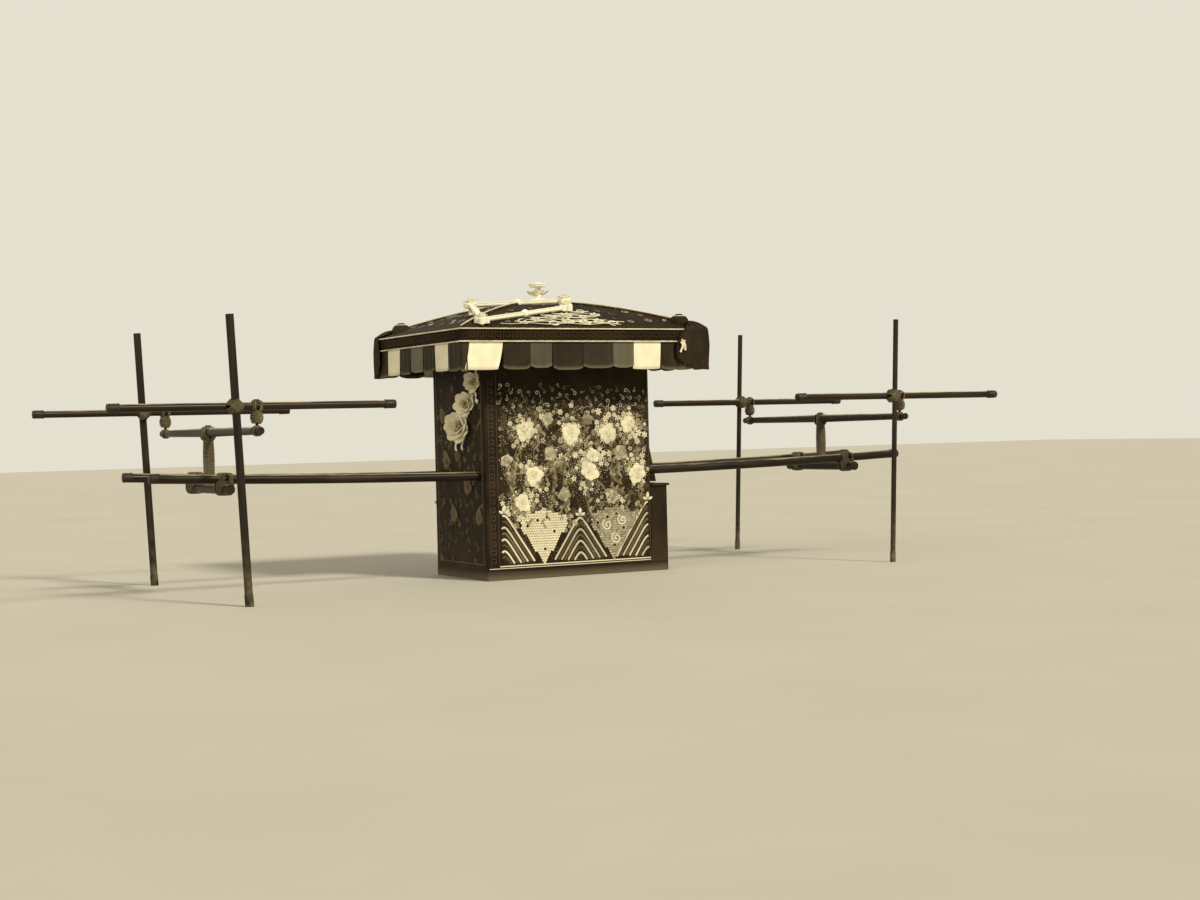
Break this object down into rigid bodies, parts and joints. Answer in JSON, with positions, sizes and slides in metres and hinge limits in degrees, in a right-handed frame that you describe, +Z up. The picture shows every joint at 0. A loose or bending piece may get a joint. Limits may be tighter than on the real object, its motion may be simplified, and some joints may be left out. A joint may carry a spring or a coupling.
{
  "type": "eight-bearer palanquin with embroidered cabin and carrying rig",
  "caption": "Closed sedan chair on two long poles, with hip roof, embroidered cloth sides, front curtain, crossbars, shoulder poles and prop staffs.",
  "frame": {"origin": "on the floor under the middle of the cabin", "axes": "+X forward along the poles, +Y to the passenger's left, +Z up"},
  "size_m": [5.54, 1.7762, 1.718],
  "materials": {
    "dark_wood": "dark lacquered frame timber",
    "lacquered_pole": "dark brown lacquer, worn along the top",
    "staff_wood": "oiled hardwood",
    "embroidered_satin": "near-black satin densely embroidered in ivory silk",
    "dark_satin": "near-black satin with a few embroidered flowers",
    "pale_curtain": "ivory silk",
    "roof_brocade": "dark brocade with ivory figures",
    "fascia_cloth": "near-black cloth with ivory piping",
    "valance_cloth": "bands of dark, grey and white silk",
    "dark_silk": "gathered dark silk",
    "white_metal": "silvered metal",
    "dark_iron": "forged iron",
    "hemp_rope": "hemp rope, wound and tied",
    "white_silk": "ivory silk flowers"
  },
  "bodies": {
    "chair": {"base_sills": "dark_wood", "base_cross_members": "dark_wood", "floor_board": "dark_wood", "corner_posts": "dark_wood", "top_plates": "dark_wood", "top_cross_rails": "dark_wood", "door_cheeks": "dark_wood", "door_lintel": "dark_wood", "seat_bench": "dark_wood", "eave_arms": "dark_wood", "apron_shelf": "dark_wood", "main_pole_right": "lacquered_pole", "main_pole_left": "lacquered_pole", "yoke_front": "lacquered_pole", "yoke_rear": "lacquered_pole", "side_panel_right": "embroidered_satin", "side_panel_left": "embroidered_satin", "rear_panel": "dark_satin", "apron_board": "dark_satin", "apron_cheeks": "dark_satin", "roof_shell": "roof_brocade", "fascia": "fascia_cloth", "valance_front": "valance_cloth", "valance_left": "valance_cloth", "valance_rear": "valance_cloth", "valance_right": "valance_cloth", "corner_ornaments": "dark_silk", "finial": "white_metal", "crown_rail": "white_metal", "pole_brackets": "dark_iron", "curtain_eyes": "dark_iron", "yoke_lashings": "hemp_rope", "rear_garland": "white_silk"},
    "curtain": {"front_curtain": "pale_curtain"},
    "crossbar_front_body": {"crossbar_front": "lacquered_pole", "crossbar_sling_front": "hemp_rope"},
    "shoulder_front_right": {"shoulder_pole_front_right": "lacquered_pole", "sling_front_right": "hemp_rope", "staff_front_right": "staff_wood"},
    "shoulder_front_left": {"shoulder_pole_front_left": "lacquered_pole", "sling_front_left": "hemp_rope", "staff_front_left": "staff_wood"},
    "crossbar_rear_body": {"crossbar_rear": "lacquered_pole", "crossbar_sling_rear": "hemp_rope"},
    "shoulder_rear_right": {"shoulder_pole_rear_right": "lacquered_pole", "sling_rear_right": "hemp_rope", "staff_rear_right": "staff_wood"},
    "shoulder_rear_left": {"shoulder_pole_rear_left": "lacquered_pole", "sling_rear_left": "hemp_rope", "staff_rear_left": "staff_wood"}
  },
  "joints": [
    {"name": "curtain_lift", "type": "hinge", "parent": "chair", "child": "curtain", "pos_m": [0.547, 0, 1.296], "axis": [0, -1, 0], "range_deg": [0, 50]},
    {"name": "front_crossbar_turn", "type": "hinge", "parent": "chair", "child": "crossbar_front_body", "pos_m": [2.02, 0, 0.875], "axis": [0, 0, 1], "range_deg": [-15, 15]},
    {"name": "front_right_shoulder_turn", "type": "hinge", "parent": "crossbar_front_body", "child": "shoulder_front_right", "pos_m": [2.02, -0.82, 1], "axis": [0, 0, 1], "range_deg": [-20, 20]},
    {"name": "front_left_shoulder_turn", "type": "hinge", "parent": "crossbar_front_body", "child": "shoulder_front_left", "pos_m": [2.02, 0.82, 1], "axis": [0, 0, 1], "range_deg": [-20, 20]},
    {"name": "rear_crossbar_turn", "type": "hinge", "parent": "chair", "child": "crossbar_rear_body", "pos_m": [-2.02, 0, 0.875], "axis": [0, 0, 1], "range_deg": [-15, 15]},
    {"name": "rear_right_shoulder_turn", "type": "hinge", "parent": "crossbar_rear_body", "child": "shoulder_rear_right", "pos_m": [-2.02, -0.82, 1], "axis": [0, 0, 1], "range_deg": [-20, 20]},
    {"name": "rear_left_shoulder_turn", "type": "hinge", "parent": "crossbar_rear_body", "child": "shoulder_rear_left", "pos_m": [-2.02, 0.82, 1], "axis": [0, 0, 1], "range_deg": [-20, 20]}
  ]
}
